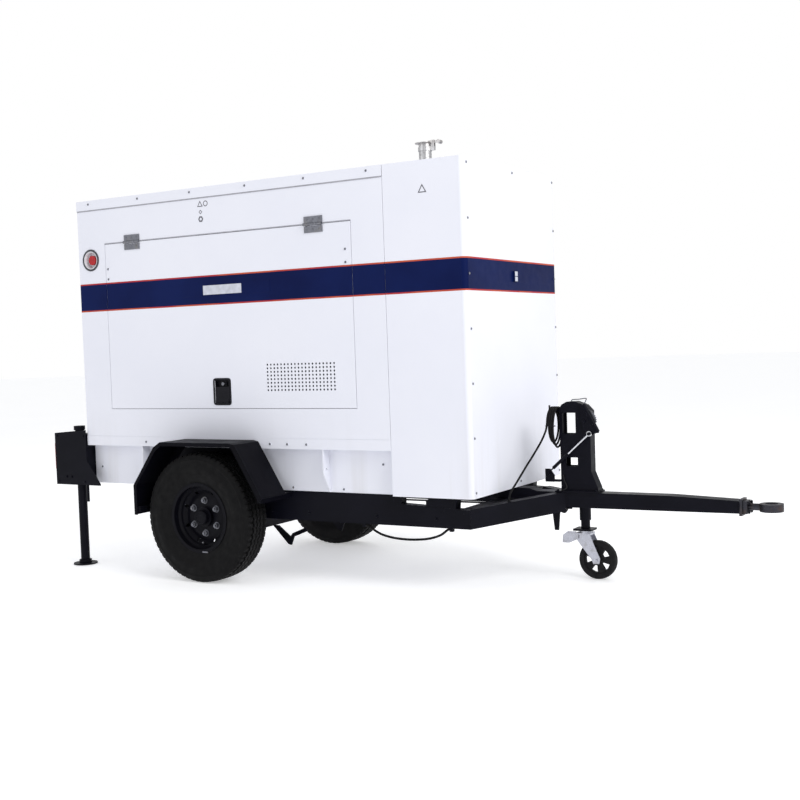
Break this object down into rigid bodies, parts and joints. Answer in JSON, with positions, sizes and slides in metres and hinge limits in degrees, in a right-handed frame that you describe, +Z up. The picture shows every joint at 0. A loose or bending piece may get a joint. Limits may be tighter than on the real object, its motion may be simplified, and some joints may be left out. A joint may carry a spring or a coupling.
{
  "type": "towable diesel generator",
  "caption": "Sound-proofed white canopy generating set on a single-axle road trailer with A-frame drawbar, ring towing eye, castor jockey wheel and rear support legs.",
  "frame": {"origin": "middle of the bounding box's bottom face, on the ground", "axes": "+X toward the towing eye, +Y to the left side, +Z up"},
  "size_m": [4.758, 1.74, 2.631],
  "materials": {
    "chassis_black": "semi-gloss black paint",
    "fender_black": "satin black paint",
    "wheel_black": "satin black paint",
    "tyre_rubber": "ribbed rubber",
    "eye_steel": "forged, painted",
    "lamp_lens": "red lens",
    "rod_chrome": "polished rod",
    "zinc": "zinc plated",
    "castor_rubber": "solid rubber on a plastic centre",
    "lead_black": "black sheath",
    "canopy_white": "white powder coat with a dark blue band edged in red",
    "latch_black": "textured black",
    "stop_red": "red mushroom button",
    "exhaust_steel": "bare steel",
    "engine_paint": "green engine enamel",
    "alternator_paint": "grey enamel",
    "radiator_alloy": "black core",
    "moulded_black": "moulded black",
    "silencer_steel": "heat-resistant grey",
    "battery_case": "black case",
    "cabinet_grey": "light grey"
  },
  "bodies": {
    "trailer": {"rail_right": "chassis_black", "rail_left": "chassis_black", "drawbar_arm_right": "chassis_black", "drawbar_arm_left": "chassis_black", "cross_member": "chassis_black", "drawbar_tube": "chassis_black", "tow_eye": "eye_steel", "axle_tube": "chassis_black", "fender_right": "fender_black", "fender_left": "fender_black", "rear_box_right": "chassis_black", "rear_box_left": "chassis_black", "rear_beam": "chassis_black", "lamps": "lamp_lens", "tower": "chassis_black", "brake_strut": "chassis_black", "jockey_tube": "chassis_black", "light_lead": "lead_black", "lead_plug": "lead_black", "brake_hose": "lead_black", "base_tray": "canopy_white", "side_panel_right": "canopy_white", "side_panel_left": "canopy_white", "hinges": "zinc", "roof_panel": "canopy_white", "plenum_shell": "canopy_white", "front_panel": "canopy_white", "rear_panel": "canopy_white", "estop_ring": "canopy_white", "exhaust_pipe": "exhaust_steel", "engine": "engine_paint", "air_filter": "moulded_black", "alternator": "alternator_paint", "radiator": "radiator_alloy", "silencer": "silencer_steel", "battery": "battery_case", "control_panel": "cabinet_grey"},
    "arm_right": {"axle_arm_right": "chassis_black"},
    "arm_left": {"axle_arm_left": "chassis_black"},
    "wheel_right": {"wheel_right": "wheel_black", "tyre_right": "tyre_rubber"},
    "wheel_left": {"wheel_left": "wheel_black", "tyre_left": "tyre_rubber"},
    "leg_right": {"support_leg_right": "chassis_black"},
    "leg_left": {"support_leg_left": "chassis_black"},
    "brake_lever": {"brake_lever": "chassis_black"},
    "brake_rod": {"brake_rod": "rod_chrome"},
    "jockey_stem": {"jockey_stem": "chassis_black"},
    "jockey_handle": {"jockey_handle": "zinc"},
    "jockey_fork": {"jockey_fork": "zinc"},
    "jockey_wheel": {"jockey_wheel": "castor_rubber"},
    "door_right": {"door_right": "canopy_white"},
    "door_left": {"door_left": "canopy_white"},
    "latch_right": {"latch_right": "latch_black"},
    "latch_left": {"latch_left": "latch_black"},
    "rear_door": {"rear_door": "canopy_white"},
    "estop_button": {"estop_button": "stop_red"},
    "rain_cap": {"rain_cap": "exhaust_steel"},
    "fan": {"fan": "moulded_black"},
    "fuel_cap": {"fuel_cap": "latch_black"}
  },
  "joints": [
    {"name": "arm_swing_right", "type": "hinge", "parent": "trailer", "child": "arm_right", "pos_m": [-0.814, -0.595, 0.335], "axis": [0, -1, 0], "range_deg": [0, 10]},
    {"name": "wheel_spin_right", "type": "hinge", "parent": "arm_right", "child": "wheel_right", "pos_m": [-0.964, -0.735, 0.4025], "axis": [0, 1, 0], "continuous": true},
    {"name": "leg_slide_right", "type": "slide", "parent": "trailer", "child": "leg_right", "axis": [0, 0, 1], "range_m": [0, 0.3]},
    {"name": "arm_swing_left", "type": "hinge", "parent": "trailer", "child": "arm_left", "pos_m": [-0.814, 0.595, 0.335], "axis": [0, -1, 0], "range_deg": [0, 10]},
    {"name": "wheel_spin_left", "type": "hinge", "parent": "arm_left", "child": "wheel_left", "pos_m": [-0.964, 0.735, 0.4025], "axis": [0, 1, 0], "continuous": true},
    {"name": "leg_slide_left", "type": "slide", "parent": "trailer", "child": "leg_left", "axis": [0, 0, 1], "range_m": [0, 0.3]},
    {"name": "brake_lever_swing", "type": "hinge", "parent": "trailer", "child": "brake_lever", "pos_m": [1.279, -0.05, 0.955], "axis": [0, -1, 0], "range_deg": [0, 30]},
    {"name": "brake_rod_slide", "type": "slide", "parent": "trailer", "child": "brake_rod", "axis": [0.7463, 0, 0.6656], "range_m": [0, 0.0425]},
    {"name": "jockey_slide", "type": "slide", "parent": "trailer", "child": "jockey_stem", "axis": [0, 0, -1], "range_m": [0, 0.12]},
    {"name": "jockey_handle_turn", "type": "hinge", "parent": "trailer", "child": "jockey_handle", "pos_m": [1.188, 0.2, 0.498], "axis": [0, 1, 0], "continuous": true},
    {"name": "castor_swivel", "type": "hinge", "parent": "jockey_stem", "child": "jockey_fork", "pos_m": [1.188, 0.16, 0.282], "axis": [0, 0, 1], "continuous": true},
    {"name": "castor_spin", "type": "hinge", "parent": "jockey_fork", "child": "jockey_wheel", "pos_m": [1.263, 0.16, 0.116], "axis": [0, 1, 0], "continuous": true},
    {"name": "door_right_swing", "type": "hinge", "parent": "trailer", "child": "door_right", "pos_m": [-0.864, -0.6355, 2.157], "axis": [-1, 0, 0], "range_deg": [0, 85]},
    {"name": "door_left_swing", "type": "hinge", "parent": "trailer", "child": "door_left", "pos_m": [-0.864, 0.6355, 2.157], "axis": [1, 0, 0], "range_deg": [0, 85]},
    {"name": "latch_right_pull", "type": "hinge", "parent": "door_right", "child": "latch_right", "pos_m": [-0.888, -0.617, 1.198], "axis": [-1, 0, 0], "range_deg": [0, 35], "stiffness_Nm_per_rad": 0.6},
    {"name": "latch_left_pull", "type": "hinge", "parent": "door_left", "child": "latch_left", "pos_m": [-0.888, 0.617, 1.198], "axis": [1, 0, 0], "range_deg": [0, 35], "stiffness_Nm_per_rad": 0.6},
    {"name": "rear_door_swing", "type": "hinge", "parent": "trailer", "child": "rear_door", "pos_m": [-2.08, 0.414, 1.7], "axis": [0, 0, -1], "range_deg": [0, 110]},
    {"name": "estop_push", "type": "slide", "parent": "trailer", "child": "estop_button", "axis": [0, 1, 0], "range_m": [0, 0.005], "stiffness_N_per_m": 600},
    {"name": "rain_cap_swing", "type": "hinge", "parent": "trailer", "child": "rain_cap", "pos_m": [0.446, -0.22, 2.623], "axis": [0, 1, 0], "range_deg": [0, 45]},
    {"name": "fan_spin", "type": "hinge", "parent": "trailer", "child": "fan", "pos_m": [0.03, 0, 1.08], "axis": [1, 0, 0], "continuous": true},
    {"name": "fuel_cap_turn", "type": "hinge", "parent": "trailer", "child": "fuel_cap", "pos_m": [-1.37, 0.43, 0.76], "axis": [0, 0, 1], "continuous": true}
  ],
  "couplings": [
    {"joint": "brake_rod_slide", "follows": "brake_lever_swing", "m_per_rad": 0.0791}
  ]
}
